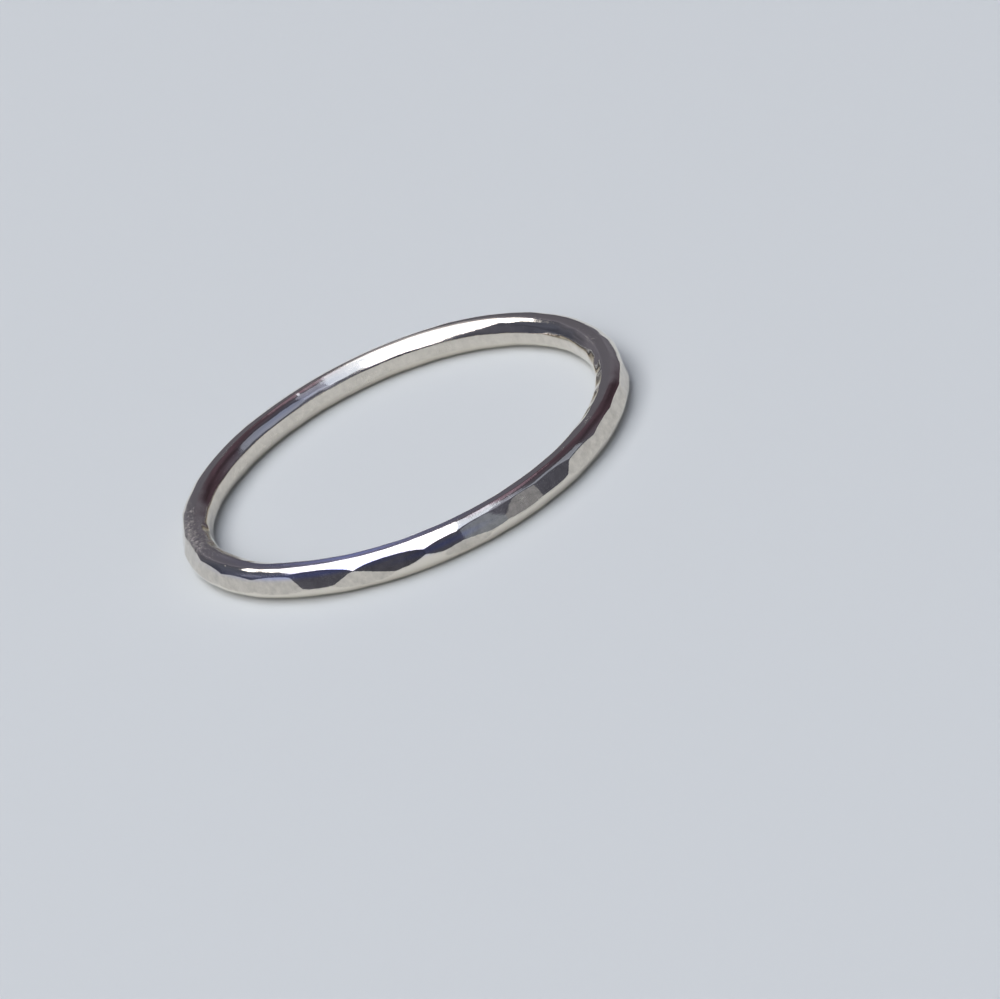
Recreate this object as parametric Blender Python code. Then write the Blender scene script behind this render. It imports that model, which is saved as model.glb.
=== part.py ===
"""Hammered band: a finger ring of round silver wire, hammered flat in short facets round the outside.

Metres, +Z up. The ring lies on its side with its underside on z = 0 and its box centred on x = y = 0.
Angles round the ring run from +X towards +Y; angles round the wire run from outward (0 degrees)
through up (90 degrees) to inward (180 degrees).
"""

import bpy
import math
import numpy as np

# Sizes of the ring
INNER_DIAMETER = 0.0149
WIRE_DIAMETER = 0.00129

# Share of the wire's thickness that hammering has taken off between the outer and the inner face
SQUASH = 0.05

# Shares of the wire's radius flattened off: rubbed away above and below, and pressed flat inside
# against the mandrel
RUBBED_SHARE = 0.036
MANDREL_SHARE = 0.05

# Fineness of the mesh round the ring and round the wire
RING_STEPS = 240
WIRE_STEPS = 24

# How far the ring is out of round: waves per turn, then the cosine and sine shares of its radius
OUT_OF_ROUND = (
    (2, -0.001, -0.003),
    (3, -0.007, 0.0),
    (4, 0.001, 0.001),
)

# Hammer facets on the outer face, one row each: angle round the ring, angle of the facet's normal
# round the wire, and depth as a share of the wire's radius
FACET_COLUMNS = ("ring_angle", "wire_angle", "depth_share")
FACETS = (
    (7.5, 4.0, 0.14),
    (19.0, 3.0, 0.15),
    (31.0, 12.0, 0.14),
    (42.5, 5.0, 0.14),
    (54.0, 12.0, 0.13),
    (65.0, 2.0, 0.16),
    (77.0, -6.0, 0.14),
    (88.5, 8.0, 0.13),
    (100.0, 12.0, 0.14),
    (111.5, -5.0, 0.14),
    (123.0, 4.0, 0.15),
    (134.0, 10.0, 0.14),
    (144.5, 2.0, 0.14),
    (154.0, 8.0, 0.15),
    (164.0, 16.0, 0.16),
    (175.0, 25.0, 0.20),
    (187.5, 28.0, 0.20),
    (200.5, 18.0, 0.15),
    (213.5, 11.0, 0.13),
    (225.5, 15.0, 0.13),
    (237.5, 20.5, 0.17),
    (250.0, 7.0, 0.07),
    (260.0, 19.5, 0.12),
    (271.5, 22.0, 0.07),
    (273.0, -14.0, 0.06),
    (281.0, 21.0, 0.16),
    (289.0, 13.0, 0.15),
    (299.0, 19.0, 0.13),
    (311.5, 10.0, 0.13),
    (324.0, 11.0, 0.13),
    (333.5, 11.0, 0.13),
    (344.0, 9.0, 0.13),
    (356.0, 4.0, 0.14),
)

SILVER = (0.86, 0.85, 0.83, 1.0)
SILVER_ROUGHNESS = 0.12

# Edges between facets stay sharp above this angle, in degrees
SHARP_ANGLE = 12.0

WIRE_RADIUS = WIRE_DIAMETER / 2
RING_RADIUS = INNER_DIAMETER / 2 + WIRE_RADIUS * (1 - MANDREL_SHARE) * (1 - SQUASH)


def centreline_radius(angle):
    """Distance of the wire's centre from the ring's axis at an angle round the ring."""
    share = np.ones_like(angle)
    for waves, cosine, sine in OUT_OF_ROUND:
        share = share + cosine * np.cos(waves * angle) + sine * np.sin(waves * angle)
    return RING_RADIUS * share


def flat_limit(height, towards):
    """How far from the wire's centre a flat lets the surface lie.

    height is the flat's distance from that centre, and towards the cosine between the flat's normal
    and the way out of the wire. A flat that faces away sets no limit.
    """
    limit = np.full(towards.shape, np.inf)
    np.divide(height, towards, out=limit, where=towards > 0)
    return limit


def hammered_radius(ring_angle, wire_angle):
    """Distance from the wire's centre to its surface: the round wire, cut back by every flat."""
    outward = np.stack([np.cos(ring_angle), np.sin(ring_angle), np.zeros_like(ring_angle)], axis=-1)
    centre = outward * centreline_radius(ring_angle)[..., None]
    normal = outward * np.cos(wire_angle)[..., None]
    normal[..., 2] = np.sin(wire_angle)
    limits = [
        np.full(ring_angle.shape, WIRE_RADIUS),
        flat_limit(WIRE_RADIUS * (1 - RUBBED_SHARE), np.abs(np.sin(wire_angle))),
        flat_limit(WIRE_RADIUS * (1 - MANDREL_SHARE), -np.cos(wire_angle)),
    ]
    for row in FACETS:
        facet = dict(zip(FACET_COLUMNS, row))
        around = math.radians(facet["ring_angle"])
        tilt = math.radians(facet["wire_angle"])
        out = np.array([math.cos(around), math.sin(around), 0.0])
        facing = math.cos(tilt) * out + np.array([0.0, 0.0, math.sin(tilt)])
        from_facet = centre - out * centreline_radius(np.array(around))
        height = WIRE_RADIUS * (1 - facet["depth_share"]) - from_facet @ facing
        towards = normal @ facing
        limits.append(flat_limit(height, np.where(height > 0, towards, 0)))
    return np.minimum.reduce(limits)


def silver():
    """Polished silver."""
    material = bpy.data.materials.new("polished_silver")
    material.use_nodes = True
    shader = material.node_tree.nodes["Principled BSDF"]
    shader.inputs["Base Color"].default_value = SILVER
    shader.inputs["Metallic"].default_value = 1.0
    shader.inputs["Roughness"].default_value = SILVER_ROUGHNESS
    return material


def hammered_band():
    """A torus of round wire, cut back to its facets and flats and squashed between its two faces."""
    bpy.ops.mesh.primitive_torus_add(
        major_segments=RING_STEPS,
        minor_segments=WIRE_STEPS,
        major_radius=RING_RADIUS,
        minor_radius=WIRE_RADIUS,
    )
    band = bpy.context.object
    band.name = "hammered_band"
    band.data.name = "hammered_band"
    mesh = band.data
    flat = np.empty(len(mesh.vertices) * 3)
    mesh.vertices.foreach_get("co", flat)
    points = flat.reshape(-1, 3)
    ring_angle = np.arctan2(points[:, 1], points[:, 0])
    wire_angle = np.arctan2(points[:, 2], np.hypot(points[:, 0], points[:, 1]) - RING_RADIUS)
    radius = hammered_radius(ring_angle, wire_angle)
    from_axis = centreline_radius(ring_angle) + radius * np.cos(wire_angle) * (1 - SQUASH)
    height = radius * np.sin(wire_angle)
    points = np.stack([from_axis * np.cos(ring_angle), from_axis * np.sin(ring_angle), height], axis=-1)
    low = points.min(axis=0)
    high = points.max(axis=0)
    points -= np.array([(low[0] + high[0]) / 2, (low[1] + high[1]) / 2, low[2]])
    mesh.vertices.foreach_set("co", points.ravel())
    mesh.shade_smooth()
    mesh.set_sharp_from_angle(angle=math.radians(SHARP_ANGLE))
    mesh.update()
    mesh.materials.append(silver())
    return band


for leftover in list(bpy.data.objects):
    bpy.data.objects.remove(leftover, do_unlink=True)

parts = bpy.data.collections.new("midi_ring")
bpy.context.scene.collection.children.link(parts)
ring = hammered_band()
for holder in list(ring.users_collection):
    holder.objects.unlink(ring)
parts.objects.link(ring)
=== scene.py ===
"""A hammered silver band on pale paper under a soft overhead light.

The band is one surface worked out with numpy: a round wire bent into a ring, cut back by hammer
facets. Lengths are in metres, and angles in radians, unless a comment says otherwise; the angles in
the tables are in degrees.
"""

import bpy
import math
import numpy as np
from bpy.props import FloatProperty, FloatVectorProperty, IntProperty, PointerProperty
from bpy.types import Operator, Panel, PropertyGroup
from mathutils import Euler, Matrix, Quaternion, Vector


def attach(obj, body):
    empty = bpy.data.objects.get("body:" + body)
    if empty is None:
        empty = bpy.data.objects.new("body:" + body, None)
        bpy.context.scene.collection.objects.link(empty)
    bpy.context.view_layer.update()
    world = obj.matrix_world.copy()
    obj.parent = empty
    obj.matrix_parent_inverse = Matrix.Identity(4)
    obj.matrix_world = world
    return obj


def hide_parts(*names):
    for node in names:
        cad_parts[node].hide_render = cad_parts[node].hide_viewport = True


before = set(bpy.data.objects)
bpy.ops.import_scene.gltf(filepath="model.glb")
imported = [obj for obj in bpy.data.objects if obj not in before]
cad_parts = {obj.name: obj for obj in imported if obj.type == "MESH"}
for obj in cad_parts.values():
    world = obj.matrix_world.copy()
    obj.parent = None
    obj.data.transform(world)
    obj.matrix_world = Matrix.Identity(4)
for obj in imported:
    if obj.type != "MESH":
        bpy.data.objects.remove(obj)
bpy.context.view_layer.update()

bl_info = {
    "name": "Hammered Band",
    "version": (1, 0, 0),
    "blender": (4, 5, 0),
    "location": "3D View > Sidebar > Hammered Band",
    "description": "Makes a hammered silver ring with its stage",
    "category": "Add Mesh",
}

MM = 0.001

# Sockets of a colour mix node: its share and its two colours, and the colour that comes out
SHARE = 0
FIRST = 6
SECOND = 7
MIXED = 2

# How far the ring is out of round: waves per turn, then the cosine and sine shares of its radius
OUT_OF_ROUND = (
    (2, -0.001, -0.003),
    (3, -0.007, 0.0),
    (4, 0.001, 0.001),
)

# Hammer facets on the outer face, one row each: angle round the ring, angle of the facet's normal
# round the wire, and depth as a share of the wire's radius
FACET_COLUMNS = ("ring_angle", "wire_angle", "depth_share")
FACETS = (
    (7.5, 4.0, 0.14),
    (19.0, 3.0, 0.15),
    (31.0, 12.0, 0.14),
    (42.5, 5.0, 0.14),
    (54.0, 12.0, 0.13),
    (65.0, 2.0, 0.16),
    (77.0, -6.0, 0.14),
    (88.5, 8.0, 0.13),
    (100.0, 12.0, 0.14),
    (111.5, -5.0, 0.14),
    (123.0, 4.0, 0.15),
    (134.0, 10.0, 0.14),
    (144.5, 2.0, 0.14),
    (154.0, 8.0, 0.15),
    (164.0, 16.0, 0.16),
    (175.0, 25.0, 0.20),
    (187.5, 28.0, 0.20),
    (200.5, 18.0, 0.15),
    (213.5, 11.0, 0.13),
    (226.5, 12.0, 0.16),
    (236.8, 20.5, 0.155),
    (248.0, 0.0, 0.11),
    (254.3, 19.5, 0.13),
    (269.8, 18.5, 0.08),
    (273.0, -14.0, 0.06),
    (279.0, 20.0, 0.15),
    (284.0, 25.0, 0.125),
    (289.5, 19.0, 0.15),
    (299.0, 20.5, 0.13),
    (311.5, 10.0, 0.13),
    (324.0, 11.0, 0.13),
    (333.5, 11.0, 0.13),
    (344.0, 9.0, 0.13),
    (356.0, 4.0, 0.14),
)

# Small dings and swellings: angle round the ring, angle round the wire, then half length along the
# wire, half width across it and depth, in millimetres. The first is the seam where the wire was soldered
DING_COLUMNS = ("ring_angle", "wire_angle", "half_length", "half_width", "depth")
DINGS = (
    (140.5, 182.0, 0.035, 0.30, 0.012),
    (263.5, 66.0, 0.05, 0.09, 0.010),
    (110.0, 115.0, 0.12, 0.12, -0.012),
    (192.0, 62.0, 0.10, 0.10, 0.010),
    (208.0, 66.0, 0.09, 0.09, 0.008),
    (221.0, 84.0, 0.06, 0.06, 0.006),
    (203.0, 125.0, 1.10, 1.10, -0.050),
    (24.0, 96.0, 0.12, 0.12, 0.012),
    (33.0, 84.0, 0.10, 0.10, 0.010),
    (352.0, 118.0, 0.12, 0.12, 0.010),
    (346.0, 104.0, 0.10, 0.10, 0.008),
)

# The grid's first row of points round the wire, at its underside
FIRST_WIRE_ANGLE = -math.pi / 2

# Painted shade on the hammered faces and the inner face, a darker reflection: how far below the round
# wire, as a share of its radius, a facet has all of it; where it starts on the inner face and how soon
# it is full, as cosines from straight inward; and how much of it the inner face has
SKIN_SHADE_DEPTH = 0.01
INNER_SHADE_START = 0.90
INNER_SHADE_FADE = 0.04
INNER_SHADE = 0.7

# Scuffed places: angle round the ring and round the wire, how far each way, and how strongly
SCUFF_COLUMNS = ("ring_angle", "wire_angle", "ring_spread", "wire_spread", "amount")
SCUFFS = (
    (181.0, 90.0, 21.0, 45.0, 0.6),
    (6.0, 95.0, 26.0, 45.0, 0.35),
    (150.0, 95.0, 22.0, 30.0, 0.3),
    (315.0, 85.0, 18.0, 30.0, 0.35),
    (100.0, 190.0, 80.0, 40.0, 0.4),
)

# Places left satin by the rubbing cloth, beside the highlights, in the same columns
HAZES = (
    (248.0, 94.0, 27.0, 16.0, 1.0),
    (218.0, 46.0, 12.0, 7.0, 0.6),
    (72.0, 101.0, 28.0, 12.0, 1.1),
    (95.0, 132.0, 11.0, 18.0, 0.35),
)

# Places tinted bluish by a painted bloom beside the highlights, in the same columns
PAINTED_BLOOMS = (
    (246.0, 94.0, 30.0, 18.0, 1.0),
    (238.0, 44.0, 26.0, 11.0, 0.9),
    (268.0, 22.0, 9.0, 12.0, 0.8),
    (118.0, 140.0, 16.0, 14.0, 0.3),
)

# Marks of the burnisher on the top edges, most of them on the inner one: bevels that fade out both
# ways round the ring. Angle round the ring, angle of the bevel round the wire, how far it spreads
# round the ring, and its depth as a share of the wire's radius
EDGE_COLUMNS = ("ring_angle", "wire_angle", "spread", "depth_share")
EDGE_MARKS = (
    (178.5, 143.0, 3.0, 0.06),
    (191.5, 132.0, 3.5, 0.06),
    (206.0, 122.0, 7.0, 0.05),
    (218.0, 116.0, 6.0, 0.05),
    (322.0, 113.0, 6.0, 0.05),
    (332.0, 118.0, 5.5, 0.06),
    (341.5, 124.0, 5.5, 0.07),
    (350.5, 130.0, 5.0, 0.06),
    (359.0, 140.0, 4.5, 0.045),
    (23.0, 158.0, 9.0, 0.03),
    (42.0, 150.0, 12.0, 0.05),
    (98.0, 75.0, 32.0, 0.075),
)

# Taken off the depth of every edge mark, so that a mark ends where its bell has faded to this
EDGE_FADE = 0.01

# Where hammering warped the ring up from its plane: angle round the ring, spread, lift in millimetres
WARP_COLUMNS = ("ring_angle", "spread", "lift")
WARPS = (
    (234.0, 14.0, 0.035),
)

# Long shallow waves left by filing and polishing: waves round the ring, waves round the wire, phase
# in degrees and height in micrometres
WAVE_COLUMNS = ("round_ring", "round_wire", "phase", "height")
WAVES = (
    (17, 1, 20.0, 4.0),
    (29, -2, 140.0, 3.0),
    (41, 1, 250.0, 2.0),
    (23, 3, 80.0, 2.0),
    (53, -1, 310.0, 1.2),
)


def linear(hex_colour):
    """Turns an sRGB hex colour into linear red, green and blue."""
    values = [int(hex_colour[i:i + 2], 16) / 255 for i in (1, 3, 5)]
    return [v / 12.92 if v <= 0.04045 else ((v + 0.055) / 1.055) ** 2.4 for v in values]


def add_node(tree, kind, values=None, links=None, **settings):
    """Adds one node: its settings, the values of its sockets, and what is linked to its inputs."""
    node = tree.nodes.new(kind)
    for name, value in settings.items():
        setattr(node, name, value)
    for name, value in (values or {}).items():
        node.inputs[name].default_value = value
    for name, source in (links or {}).items():
        tree.links.new(source, node.inputs[name])
    return node


class BandSettings(PropertyGroup):
    inner_diameter: FloatProperty(
        name="Inside diameter", description="Width of the finger hole",
        default=14.9 * MM, unit="LENGTH",
    )
    wire_diameter: FloatProperty(
        name="Wire", description="Thickness of the round wire before hammering",
        default=1.29 * MM, unit="LENGTH",
    )
    squash: FloatProperty(
        name="Squash",
        description="How far hammering flattened the wire against the mandrel, as a share of its thickness",
        default=0.05, subtype="FACTOR",
    )
    rubbed_share: FloatProperty(
        name="Rubbed flats", description="Share of the wire's radius rubbed away above and below",
        default=0.036, subtype="FACTOR",
    )
    mandrel_share: FloatProperty(
        name="Inner flat", description="Share of the wire's radius flattened inside by the mandrel",
        default=0.05, subtype="FACTOR",
    )
    edge_share: FloatProperty(
        name="Edge softness",
        description="How soft the edges between facets are, as a share of the wire's radius",
        default=0.006, subtype="FACTOR",
    )
    crown_radius: FloatProperty(
        name="Facet crown", description="Radius of the slight dome of each facet",
        default=80 * MM, unit="LENGTH",
    )
    ring_steps: IntProperty(
        name="Steps round the ring", description="Fineness of the mesh round the ring", default=1020
    )
    wire_steps: IntProperty(
        name="Steps round the wire", description="Fineness of the mesh round the wire", default=96
    )


class SilverSettings(PropertyGroup):
    bright: FloatVectorProperty(
        name="Silver", description="Colour of clean polished silver",
        default=linear("#EEE6D9"), subtype="COLOR", size=3,
    )
    # Painted shade: the darker colour of the hammered and inner faces, for their darker reflection
    shaded_silver: FloatVectorProperty(
        name="Worn silver", description="Colour where handling has dulled it",
        default=linear("#C4BDB2"), subtype="COLOR", size=3,
    )
    # Painted bluish bloom: the colour that tints the silver beside the highlights
    bloom_tint: FloatVectorProperty(
        name="Film", description="Colour under the thin film of tarnish",
        default=linear("#B4BBEE"), subtype="COLOR", size=3,
    )


class StageSettings(PropertyGroup):
    paper: FloatVectorProperty(
        name="Paper", description="Colour of the floor",
        default=linear("#D8DBD8"), subtype="COLOR", size=3,
    )
    room_near: FloatVectorProperty(
        name="Room, near", description="Colour of the dim room on the camera's side",
        default=linear("#50525F"), subtype="COLOR", size=3,
    )
    room_left: FloatVectorProperty(
        name="Room, left", description="Colour of the dim room behind and to the left",
        default=linear("#494D5C"), subtype="COLOR", size=3,
    )
    room_right: FloatVectorProperty(
        name="Room, right", description="Colour of the dim room behind and to the right",
        default=linear("#483B46"), subtype="COLOR", size=3,
    )
    room_far: FloatVectorProperty(
        name="Room, far", description="Colour of the lighter wall low down straight ahead",
        default=linear("#62626E"), subtype="COLOR", size=3,
    )
    light_height: FloatProperty(
        name="Light height", description="Height of the cards overhead, which scales every light",
        default=1.2, unit="LENGTH",
    )
    light_strength: FloatProperty(
        name="Light strength", description="Brightness of every light, as a share of its own", default=0.9
    )
    camera_distance: FloatProperty(
        name="Camera distance", description="From the camera to where it aims",
        default=130.27 * MM, unit="LENGTH",
    )
    camera_turn: FloatProperty(
        name="Camera turn", description="Turn of the view from straight ahead",
        default=math.radians(1.13), subtype="ANGLE",
    )
    camera_elevation: FloatProperty(
        name="Camera elevation", description="Angle of the view above the horizon",
        default=math.radians(26.2), subtype="ANGLE",
    )
    camera_roll: FloatProperty(
        name="Camera roll", description="Tilt of the picture",
        default=math.radians(-24.04), subtype="ANGLE",
    )
    camera_lens: FloatProperty(
        name="Lens", description="Focal length for a sensor 36 mm wide, in millimetres", default=136.72
    )


def centreline_radius(angle, settings):
    """Distance of the wire's centre from the axis: the mean radius times one plus a few waves."""
    inwards = settings.wire_diameter / 2 * (1 - settings.mandrel_share) * (1 - settings.squash)
    mean = settings.inner_diameter / 2 + inwards
    share = np.ones_like(angle)
    for waves, cosine, sine in OUT_OF_ROUND:
        share = share + cosine * np.cos(waves * angle) + sine * np.sin(waves * angle)
    return mean * share


def soft_minimum(limits, softness):
    """Least of several arrays, rounded where two meet: minus s times log of the sum of exp(-x / s)."""
    least = limits.min(axis=0)
    return least - softness * np.log(np.exp((least - limits) / softness).sum(axis=0))


def facet_limit(facet, settings, centre, normal, wire_radius):
    """How far the surface may lie from the wire's centre under one facet.

    The facet is a plane with a slight dome: height above the wire's centre, less the square of the
    distance along the facet over twice the dome's radius, divided by how squarely the wire faces it.
    """
    around = math.radians(facet["ring_angle"])
    tilt = math.radians(facet["wire_angle"])
    out = np.array([math.cos(around), math.sin(around), 0.0])
    facing = math.cos(tilt) * out + np.array([0.0, 0.0, math.sin(tilt)])
    from_facet = centre - out * centreline_radius(np.array(around), settings)
    on_wire = from_facet + normal * wire_radius
    across = (on_wire ** 2).sum(axis=-1) - (on_wire @ facing) ** 2
    height = wire_radius * (1 - facet["depth_share"]) - across / (2 * settings.crown_radius)
    towards = normal @ facing
    limit = np.full(towards.shape, np.inf)
    np.divide(height - from_facet @ facing, towards, out=limit, where=towards > 0)
    return np.where(limit > 0, limit, np.inf)


def band_points(settings):
    """Points of the band on a grid, ring angle by wire angle, and how much painted shade each has.

    Each point is the wire's centre plus the wire's normal times the least of: the round wire's radius,
    the two rubbed flats, the inner flat, every facet and every edge mark. Dings and polishing waves are
    then added. A warp lifts the wire by its lift times exp(-(angle from it / spread) ** 2). The painted
    shade, a darker reflection, is full where a facet cuts below the round wire, and less on the inner face.
    """
    ring = np.arange(settings.ring_steps) * (2 * math.pi / settings.ring_steps)
    wire = np.arange(settings.wire_steps) * (2 * math.pi / settings.wire_steps) + FIRST_WIRE_ANGLE
    ring, wire = np.meshgrid(ring, wire, indexing="ij")
    radius = settings.wire_diameter / 2
    outward = np.stack([np.cos(ring), np.sin(ring), np.zeros_like(ring)], axis=-1)
    centre = outward * centreline_radius(ring, settings)[..., None]
    normal = outward * np.cos(wire)[..., None]
    normal[..., 2] = np.sin(wire)
    limits = [np.full(ring.shape, radius)]
    flats = (
        (np.sin(wire), settings.rubbed_share),
        (-np.sin(wire), settings.rubbed_share),
        (-np.cos(wire), settings.mandrel_share),
    )
    for towards, share in flats:
        limit = np.full(ring.shape, np.inf)
        np.divide(radius * (1 - share), towards, out=limit, where=towards > 0)
        limits.append(limit)
    facets = []
    for row in FACETS:
        facets.append(facet_limit(dict(zip(FACET_COLUMNS, row)), settings, centre, normal, radius))
    nearest_facet = np.minimum.reduce(facets)
    limits += facets
    for row in EDGE_MARKS:
        mark = dict(zip(EDGE_COLUMNS, row))
        turned = np.degrees(np.angle(np.exp(1j * (ring - math.radians(mark["ring_angle"])))))
        depth = mark["depth_share"] * np.exp(-((turned / mark["spread"]) ** 4)) - EDGE_FADE
        towards = np.cos(wire - math.radians(mark["wire_angle"]))
        limit = np.full(ring.shape, np.inf)
        np.divide(radius * (1 - depth), towards, out=limit, where=towards > 0)
        limits.append(limit)
    reach = soft_minimum(np.stack(limits), settings.edge_share * radius)
    reach = reach + surface_marks(ring, wire, settings, radius)
    offset = normal * reach[..., None]
    offset[..., :2] *= 1 - settings.squash
    points = centre + offset
    for row in WARPS:
        warp = dict(zip(WARP_COLUMNS, row))
        turned = np.degrees(np.angle(np.exp(1j * (ring - math.radians(warp["ring_angle"])))))
        points[..., 2] += warp["lift"] * MM * np.exp(-((turned / warp["spread"]) ** 2))
    # Painted shade share: full on the facets, part of it on the inner face
    hammered = np.clip((radius - nearest_facet) / (SKIN_SHADE_DEPTH * radius), 0, 1)
    inside = np.clip((-np.cos(wire) - INNER_SHADE_START) / INNER_SHADE_FADE, 0, 1)
    low = points.min(axis=(0, 1))
    high = points.max(axis=(0, 1))
    points = points - np.array([(low[0] + high[0]) / 2, (low[1] + high[1]) / 2, low[2]])
    return points, np.maximum(hammered, INNER_SHADE * inside)


def surface_marks(ring, wire, settings, radius):
    """Small heights on the surface: sums of long sine waves, less a round Gaussian dip for each ding.

    They fade out towards the rubbed flats, which stay true.
    """
    away_from_flats = np.clip((1 - np.abs(np.sin(wire))) / (2 * settings.rubbed_share), 0, 1)
    marks = np.zeros_like(ring)
    for row in WAVES:
        wave = dict(zip(WAVE_COLUMNS, row))
        phase = wave["round_ring"] * ring + wave["round_wire"] * wire + math.radians(wave["phase"])
        marks = marks + wave["height"] * MM / 1000 * (np.sin(phase) - 1)
    for row in DINGS:
        ding = dict(zip(DING_COLUMNS, row))
        turned = np.angle(np.exp(1j * (ring - math.radians(ding["ring_angle"]))))
        rolled = np.angle(np.exp(1j * (wire - math.radians(ding["wire_angle"]))))
        along = turned * settings.inner_diameter / 2 / (ding["half_length"] * MM)
        across = rolled * radius / (ding["half_width"] * MM)
        marks = marks - ding["depth"] * MM * np.exp(-(along ** 2) - across ** 2)
    return marks * away_from_flats


def closed_grid_mesh(name, points):
    """Mesh of a grid that closes both ways, and the ring and wire angles at its face corners."""
    rows, columns = points.shape[:2]
    row, column = np.meshgrid(np.arange(rows), np.arange(columns), indexing="ij")
    corner_rows = np.stack([row, row + 1, row + 1, row], axis=-1).reshape(-1)
    corner_columns = np.stack([column, column, column + 1, column + 1], axis=-1).reshape(-1)
    corners = (corner_rows % rows) * columns + corner_columns % columns
    mesh = bpy.data.meshes.new(name)
    mesh.vertices.add(rows * columns)
    mesh.vertices.foreach_set("co", points.ravel())
    mesh.loops.add(len(corners))
    mesh.loops.foreach_set("vertex_index", corners)
    mesh.polygons.add(rows * columns)
    mesh.polygons.foreach_set("loop_start", np.arange(0, len(corners), 4))
    mesh.update(calc_edges=True)
    mesh.shade_smooth()
    ring = corner_rows / rows * 2 * math.pi
    wire = corner_columns / columns * 2 * math.pi + FIRST_WIRE_ANGLE
    return mesh, ring, wire


def wire_attributes(mesh, ring, wire, settings):
    """Adds what the silver reads: the unrolled wire as metres, how scuffed and hazy it is, and its painted
    bluish bloom.

    The unrolled wire is (R cos u, R sin u, r v) for ring angle u and wire angle v. Scuffing, haze and
    the painted bloom are each the largest of a few bells round the ring, each times a bell round the wire.
    """
    ring_radius = settings.inner_diameter / 2
    wire_radius = settings.wire_diameter / 2
    unrolled = np.stack(
        [ring_radius * np.cos(ring), ring_radius * np.sin(ring), wire_radius * wire], axis=-1
    )
    mesh.attributes.new("unrolled", "FLOAT_VECTOR", "CORNER").data.foreach_set("vector", unrolled.ravel())
    for name, rows in (("scuffed", SCUFFS), ("hazy", HAZES), ("bloom_share", PAINTED_BLOOMS)):
        share = np.zeros_like(ring)
        for row in rows:
            place = dict(zip(SCUFF_COLUMNS, row))
            turned = np.degrees(np.angle(np.exp(1j * (ring - math.radians(place["ring_angle"])))))
            rolled = np.degrees(np.angle(np.exp(1j * (wire - math.radians(place["wire_angle"])))))
            bell = np.exp(-((turned / place["ring_spread"]) ** 2) - (rolled / place["wire_spread"]) ** 2)
            share = np.maximum(share, place["amount"] * bell)
        mesh.attributes.new(name, "FLOAT", "CORNER").data.foreach_set("value", share)


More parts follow.
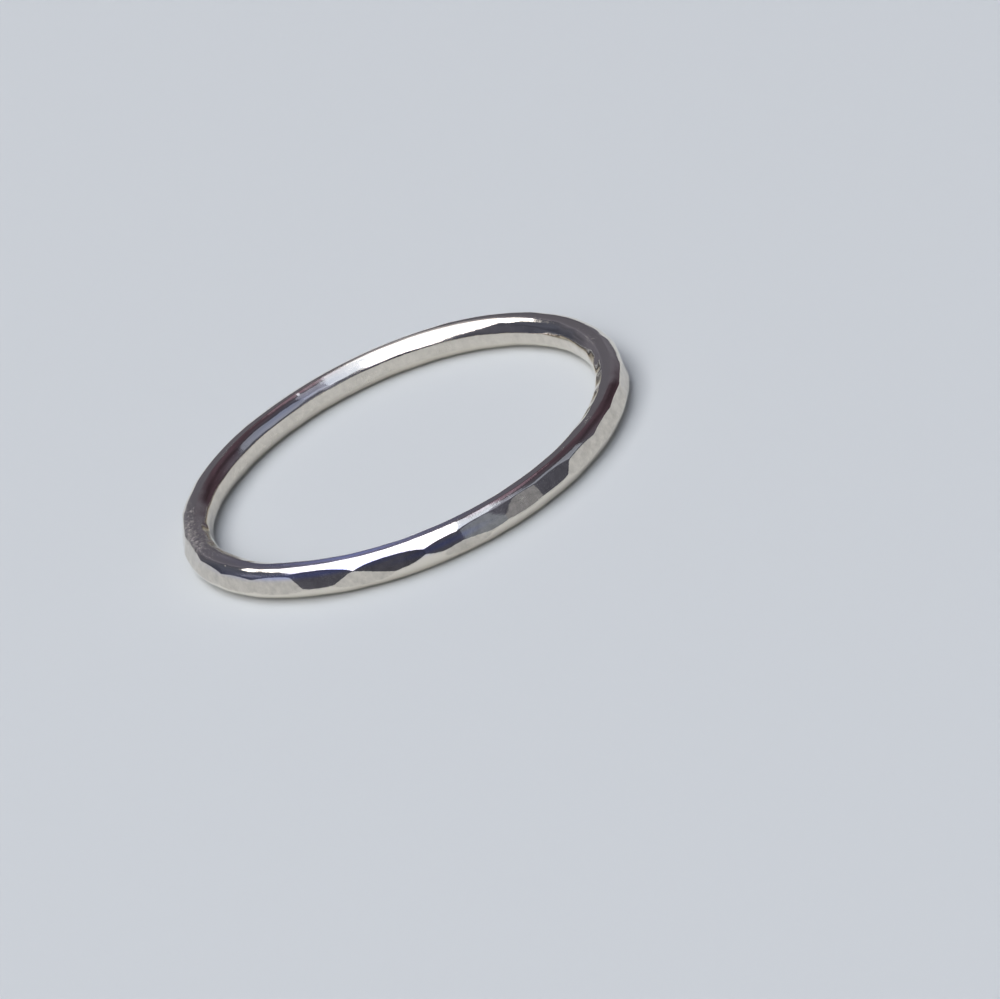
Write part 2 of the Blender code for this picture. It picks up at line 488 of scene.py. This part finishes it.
def polished_silver(settings):
    """Sterling silver, hammered and then polished by hand and worn.

    The eye gets a near mirror with soft edges, fine scratches along the wire where it was polished,
    short scratches across it where it is scuffed, a satin bloom beside the highlights, a painted bluish
    bloom tinting the silver beside them, and painted shade, a darker reflection mottled grey, on the
    hammered and inner faces.
    """
    material = bpy.data.materials.new("polished_silver")
    material.use_nodes = True
    tree = material.node_tree
    shader = tree.nodes["Principled BSDF"]
    shader.inputs["Metallic"].default_value = 1.0
    place = add_node(tree, "ShaderNodeTexCoord").outputs["Object"]
    unrolled = add_node(tree, "ShaderNodeAttribute", attribute_name="unrolled").outputs["Vector"]
    scuffed = add_node(tree, "ShaderNodeAttribute", attribute_name="scuffed").outputs["Fac"]
    hazy = add_node(tree, "ShaderNodeAttribute", attribute_name="hazy").outputs["Fac"]
    # Share of the painted bluish bloom beside the highlights
    bloom_share = add_node(tree, "ShaderNodeAttribute", attribute_name="bloom_share").outputs["Fac"]
    skin_shade = add_node(tree, "ShaderNodeAttribute", attribute_name="skin_shade").outputs["Fac"]

    # Patches of handling wear 1.5 mm across, strongest where the ring is scuffed
    patches = add_node(
        tree, "ShaderNodeTexNoise", {"Scale": 1 / (1.5 * MM), "Detail": 5.0, "Roughness": 0.6},
        {"Vector": place},
    )
    ragged = add_node(
        tree, "ShaderNodeMath", None, {0: patches.outputs["Fac"], 1: scuffed}, operation="ADD"
    )
    wear = add_node(
        tree, "ShaderNodeMapRange", {"From Min": 0.55, "From Max": 1.10},
        {"Value": ragged.outputs["Value"]}, interpolation_type="SMOOTHSTEP",
    ).outputs["Result"]

    # Painted shade on the hammered and mandrelled faces, a darker grey reflection, with a random mottle 0.3
    # mm across
    mottle = add_node(
        tree, "ShaderNodeTexNoise", {"Scale": 1 / (0.3 * MM), "Detail": 5.0, "Roughness": 0.65},
        {"Vector": place},
    )
    mottle_share = add_node(
        tree, "ShaderNodeMapRange", {"From Min": 0.3, "From Max": 0.7, "To Min": 0.15, "To Max": 0.9},
        {"Value": mottle.outputs["Fac"]},
    )
    shade_share = add_node(
        tree, "ShaderNodeMath", None, {0: mottle_share.outputs["Result"], 1: skin_shade}, operation="MULTIPLY"
    )
    # Painted shade: the silver mixed towards its darker colour by the mottled shade share
    colour = add_node(
        tree, "ShaderNodeMix", {FIRST: (*settings.bright, 1.0), SECOND: (*settings.shaded_silver, 1.0)},
        {SHARE: shade_share.outputs["Value"]}, data_type="RGBA",
    )
    # Painted bluish bloom beside the highlights, as a tint of the silver
    tinted = add_node(
        tree, "ShaderNodeMix", {SECOND: (*settings.bloom_tint, 1.0)},
        {SHARE: bloom_share, FIRST: colour.outputs[MIXED]}, data_type="RGBA",
    )
    tree.links.new(tinted.outputs[MIXED], shader.inputs["Base Color"])

    # Polishing scratches 0.04 mm apart and 0.8 mm long, along the wire
    polish_space = add_node(
        tree, "ShaderNodeMapping", {"Scale": (1 / (0.8 * MM), 1 / (0.8 * MM), 1 / (0.04 * MM))},
        {"Vector": unrolled},
    )
    polish = add_node(
        tree, "ShaderNodeTexNoise", {"Scale": 1.0, "Detail": 3.0, "Roughness": 0.6},
        {"Vector": polish_space.outputs["Vector"]},
    )

    # Rubbed scratches 0.022 mm apart and 0.14 mm long, across the wire, where it is scuffed
    rub_space = add_node(
        tree, "ShaderNodeMapping", {"Scale": (1 / (0.022 * MM), 1 / (0.022 * MM), 1 / (0.14 * MM))},
        {"Vector": unrolled},
    )
    rub = add_node(
        tree, "ShaderNodeTexNoise", {"Scale": 1.0, "Detail": 2.0, "Roughness": 0.6},
        {"Vector": rub_space.outputs["Vector"]},
    )
    strokes = add_node(
        tree, "ShaderNodeMapRange", {"From Min": 0.50, "From Max": 0.68}, {"Value": rub.outputs["Fac"]}
    )
    scratched = add_node(
        tree, "ShaderNodeMath", None, {0: strokes.outputs["Result"], 1: wear}, operation="MULTIPLY"
    ).outputs["Value"]

    # Roughness: 0.08 where polished, up to 0.40 where scratched, and 0.36 more under full haze
    polished = add_node(tree, "ShaderNodeMapRange", {"To Min": 0.08, "To Max": 0.40}, {"Value": scratched})
    roughness = add_node(
        tree, "ShaderNodeMath", {1: 0.36}, {0: hazy, 2: polished.outputs["Result"]},
        operation="MULTIPLY_ADD",
    )
    tree.links.new(roughness.outputs["Value"], shader.inputs["Roughness"])

    # Hammered skin: soft unevenness 0.4 mm across
    uneven = add_node(
        tree, "ShaderNodeTexNoise", {"Scale": 1 / (0.4 * MM), "Detail": 3.0, "Roughness": 0.5},
        {"Vector": place},
    )
    uneven_bump = add_node(
        tree, "ShaderNodeBump", {"Strength": 1.0, "Distance": 0.006 * MM}, {"Height": uneven.outputs["Fac"]}
    )
    polish_bump = add_node(
        tree, "ShaderNodeBump", {"Strength": 1.0, "Distance": 0.0009 * MM},
        {"Height": polish.outputs["Fac"], "Normal": uneven_bump.outputs["Normal"]},
    )
    rub_bump = add_node(
        tree, "ShaderNodeBump", {"Strength": 1.0, "Distance": 0.0025 * MM},
        {"Height": scratched, "Normal": polish_bump.outputs["Normal"]},
    )
    tree.links.new(rub_bump.outputs["Normal"], shader.inputs["Normal"])
    return material


def paper(settings):
    """Smooth uncoated paper: an even, matt and pale ground without shine."""
    material = bpy.data.materials.new("uncoated_paper")
    material.use_nodes = True
    shader = material.node_tree.nodes["Principled BSDF"]
    shader.inputs["Base Color"].default_value = (*settings.paper, 1.0)
    shader.inputs["Roughness"].default_value = 0.9
    shader.inputs["Specular IOR Level"].default_value = 0.2
    return material


class BandOperator(Operator):
    """Makes the hammered band in place of the plain one"""
    bl_idname = "midi_ring.hammered_band"
    bl_label = "Hammered band"

    def execute(self, context):
        settings = context.scene.midi_ring_band
        if settings.ring_steps < 3 or settings.wire_steps < 3:
            raise ValueError("The band needs at least three steps round the ring and round the wire")
        points, skin_shade = band_points(settings)
        if not np.isfinite(points).all():
            raise ValueError("The band's facets and flats leave no surface")
        mesh, ring, wire = closed_grid_mesh("hammered_silver_band", points)
        # Share of painted shade on each point, read by the silver
        mesh.attributes.new("skin_shade", "FLOAT", "POINT").data.foreach_set("value", skin_shade.ravel())
        wire_attributes(mesh, ring, wire, settings)
        band = bpy.data.objects.new("hammered_silver_band", mesh)
        context.scene.collection.objects.link(band)
        mesh.materials.append(polished_silver(context.scene.midi_ring_silver))
        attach(band, "root")
        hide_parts("hammered_band")
        return {"FINISHED"}


# The paper: flat in the middle, then rising a little towards its edge like a studio sweep
FLOOR_FLAT = 0.25
FLOOR_EDGE = 0.60
FLOOR_RISE = 0.026
FLOOR_RINGS = 40
FLOOR_SPOKES = 96

# The lights: middle, width and length as shares of the light height, then pitch and turn in degrees,
# radiance and tint
LIGHT_COLUMNS = ("name", "middle", "width", "length", "pitch", "turn", "radiance", "tint")
LIGHTS = (
    ("soft_box", (-0.565, 0.42, 1.35), 1.11, 3.5, 27.0, 1.0, 2.25, "#FFFFFF"),
    ("box_glow", (-0.62, 0.50, 1.45), 1.22, 4.1, 27.0, 1.0, 0.20, "#A0A8FF"),
    ("box_corner", (-1.19, 1.41, 1.90), 0.5, 1.5, 27.0, 22.0, 2.25, "#FFFFFF"),
    ("box_side", (0.07, -0.10, 1.085), 0.40, 1.9, 27.0, 8.4, 1.05, "#DEEBFF"),
    ("side_card", (0.415, -0.55, 0.81), 0.22, 1.25, 27.0, 8.4, 0.30, "#DDE4FF"),
    ("grey_card", (1.60, -0.72, 1.0), 2.0, 1.5, 0.0, -15.3, 0.31, "#D8E6FF"),
    ("low_card", (0.44, -1.212, 0.16), 0.36, 0.42, 90.0, 27.0, 0.23, "#E0F0FF"),
    ("low_card_right", (0.76, -1.048, 0.16), 0.36, 0.42, 90.0, 27.0, 0.26, "#EEF2F6"),
    ("pink_card", (0.20, 0.42, 1.0), 0.24, 0.50, 0.0, 0.0, 0.20, "#F4D2F0"),
)

# Where the camera aims, from the middle of the ring
AIM_RIGHT = 2.38 * MM
AIM_NEAR = 6.83 * MM
AIM_HEIGHT = 0.62 * MM

# The camera's sensor in millimetres, and the nearest and farthest that it sees in metres
SENSOR_WIDTH = 36.0
NEAREST_SEEN = 0.01
FARTHEST_SEEN = 10.0


def sweep_floor(settings):
    """The floor on rings and spokes: height is zero, then rises as a smooth step of the distance."""
    distance = np.linspace(0, FLOOR_EDGE, FLOOR_RINGS)[:, None]
    angle = np.linspace(0, 2 * math.pi, FLOOR_SPOKES, endpoint=False)[None, :]
    share = np.clip((distance - FLOOR_FLAT) / (FLOOR_EDGE - FLOOR_FLAT), 0, 1)
    rise = FLOOR_RISE * share ** 2 * (3 - 2 * share)
    height = np.broadcast_to(rise, (FLOOR_RINGS, FLOOR_SPOKES))
    points = np.stack([distance * np.cos(angle), distance * np.sin(angle), height], axis=-1)
    ring = np.arange(FLOOR_RINGS - 1)[:, None] * FLOOR_SPOKES
    spoke = np.arange(FLOOR_SPOKES)[None, :]
    following = (spoke + 1) % FLOOR_SPOKES
    next_ring = ring + FLOOR_SPOKES
    faces = np.stack([ring + spoke, next_ring + spoke, next_ring + following, ring + following], axis=-1)
    mesh = bpy.data.meshes.new("paper_floor")
    mesh.from_pydata(points.reshape(-1, 3).tolist(), [], faces.reshape(-1, 4).tolist())
    mesh.shade_smooth()
    mesh.materials.append(paper(settings))
    floor = bpy.data.objects.new("paper_floor", mesh)
    bpy.context.scene.collection.objects.link(floor)


def studio_lights(settings):
    """The soft box, its glow and the cards round it, rectangles that face the table or the ring."""
    for row in LIGHTS:
        values = dict(zip(LIGHT_COLUMNS, row))
        light = bpy.data.lights.new(values["name"], "AREA")
        light.shape = "RECTANGLE"
        light.size = values["width"] * settings.light_height
        light.size_y = values["length"] * settings.light_height
        light.color = linear(values["tint"])
        light.energy = math.pi * light.size * light.size_y * values["radiance"] * settings.light_strength
        lamp = bpy.data.objects.new(values["name"], light)
        lamp.location = Vector(values["middle"]) * settings.light_height
        lamp.rotation_euler = Euler((math.radians(values["pitch"]), 0, math.radians(values["turn"])))
        bpy.context.scene.collection.objects.link(lamp)


def dim_room(settings):
    """The dim room: bluish on the camera's side and to the left, maroon to the right, lighter far ahead."""
    world = bpy.data.worlds.new("dim_room")
    world.use_nodes = True
    tree = world.node_tree
    background = tree.nodes["Background"]
    direction = add_node(tree, "ShaderNodeTexCoord").outputs["Generated"]
    split = add_node(tree, "ShaderNodeSeparateXYZ", None, {"Vector": direction})
    behind = add_node(
        tree, "ShaderNodeMapRange", {"From Min": -0.2, "From Max": 0.5}, {"Value": split.outputs["Y"]},
        interpolation_type="SMOOTHSTEP",
    )
    rightward = add_node(
        tree, "ShaderNodeMapRange", {"From Min": -0.5, "From Max": 0.3}, {"Value": split.outputs["X"]},
        interpolation_type="SMOOTHSTEP",
    )
    back = add_node(
        tree, "ShaderNodeMix", {FIRST: (*settings.room_left, 1.0), SECOND: (*settings.room_right, 1.0)},
        {SHARE: rightward.outputs["Result"]}, data_type="RGBA",
    )
    walls = add_node(
        tree, "ShaderNodeMix", {FIRST: (*settings.room_near, 1.0)},
        {SHARE: behind.outputs["Result"], SECOND: back.outputs[MIXED]}, data_type="RGBA",
    )
    ahead = add_node(
        tree, "ShaderNodeMapRange", {"From Min": 0.60, "From Max": 0.90}, {"Value": split.outputs["Y"]},
        interpolation_type="SMOOTHSTEP",
    )
    wall = add_node(
        tree, "ShaderNodeMix", {SECOND: (*settings.room_far, 1.0)},
        {SHARE: ahead.outputs["Result"], FIRST: walls.outputs[MIXED]}, data_type="RGBA",
    )
    patches = add_node(
        tree, "ShaderNodeTexNoise", {"Scale": 2.2, "Detail": 2.0, "Roughness": 0.5}, {"Vector": direction}
    )
    strength = add_node(
        tree, "ShaderNodeMapRange", {"From Min": 0.3, "From Max": 0.7, "To Min": 0.55, "To Max": 1.5},
        {"Value": patches.outputs["Fac"]},
    )
    tree.links.new(wall.outputs[MIXED], background.inputs["Color"])
    tree.links.new(strength.outputs["Result"], background.inputs["Strength"])
    bpy.context.scene.world = world


def photo_camera(settings):
    """The camera: aimed from its turn and elevation, then rolled about its own axis."""
    camera = bpy.data.cameras.new("camera")
    camera.lens = settings.camera_lens
    camera.sensor_width = SENSOR_WIDTH
    camera.sensor_fit = "HORIZONTAL"
    camera.clip_start = NEAREST_SEEN
    camera.clip_end = FARTHEST_SEEN
    turn = settings.camera_turn
    elevation = settings.camera_elevation
    forward = Vector((
        math.sin(turn) * math.cos(elevation),
        math.cos(turn) * math.cos(elevation),
        -math.sin(elevation),
    ))
    aim = Vector((AIM_RIGHT, -AIM_NEAR, AIM_HEIGHT))
    holder = bpy.data.objects.new("camera", camera)
    holder.rotation_mode = "QUATERNION"
    holder.location = aim - forward * settings.camera_distance
    rolled = Quaternion((0, 0, 1), settings.camera_roll)
    holder.rotation_quaternion = forward.to_track_quat("-Z", "Y") @ rolled
    bpy.context.scene.collection.objects.link(holder)
    bpy.context.scene.camera = holder


class StageOperator(Operator):
    """Makes the paper floor, the light, the room and the camera"""
    bl_idname = "midi_ring.stage"
    bl_label = "Stage"

    def execute(self, context):
        settings = context.scene.midi_ring_stage
        if settings.light_height <= 0 or settings.camera_distance <= 0:
            raise ValueError("The light's height and the camera's distance must be above zero")
        sweep_floor(settings)
        studio_lights(settings)
        dim_room(settings)
        photo_camera(settings)
        context.scene.view_settings.view_transform = "Standard"
        return {"FINISHED"}


class RingPanel(Panel):
    """The ring's settings and its operators"""
    bl_idname = "VIEW3D_PT_midi_ring"
    bl_label = "Hammered Band"
    bl_space_type = "VIEW_3D"
    bl_region_type = "UI"
    bl_category = "Hammered Band"

    def draw(self, context):
        groups = (
            (context.scene.midi_ring_band, BandOperator),
            (context.scene.midi_ring_silver, None),
            (context.scene.midi_ring_stage, StageOperator),
        )
        for settings, operator in groups:
            box = self.layout.box()
            for name in settings.__annotations__:
                box.prop(settings, name)
            if operator:
                box.operator(operator.bl_idname)


CLASSES = (BandSettings, SilverSettings, StageSettings, BandOperator, StageOperator, RingPanel)


def register():
    for item in CLASSES:
        bpy.utils.register_class(item)
    bpy.types.Scene.midi_ring_band = PointerProperty(type=BandSettings)
    bpy.types.Scene.midi_ring_silver = PointerProperty(type=SilverSettings)
    bpy.types.Scene.midi_ring_stage = PointerProperty(type=StageSettings)


def unregister():
    del bpy.types.Scene.midi_ring_stage
    del bpy.types.Scene.midi_ring_silver
    del bpy.types.Scene.midi_ring_band
    for item in reversed(CLASSES):
        bpy.utils.unregister_class(item)


def main():
    register()
    bpy.ops.midi_ring.hammered_band()
    bpy.ops.midi_ring.stage()


if __name__ == "__main__":
    main()
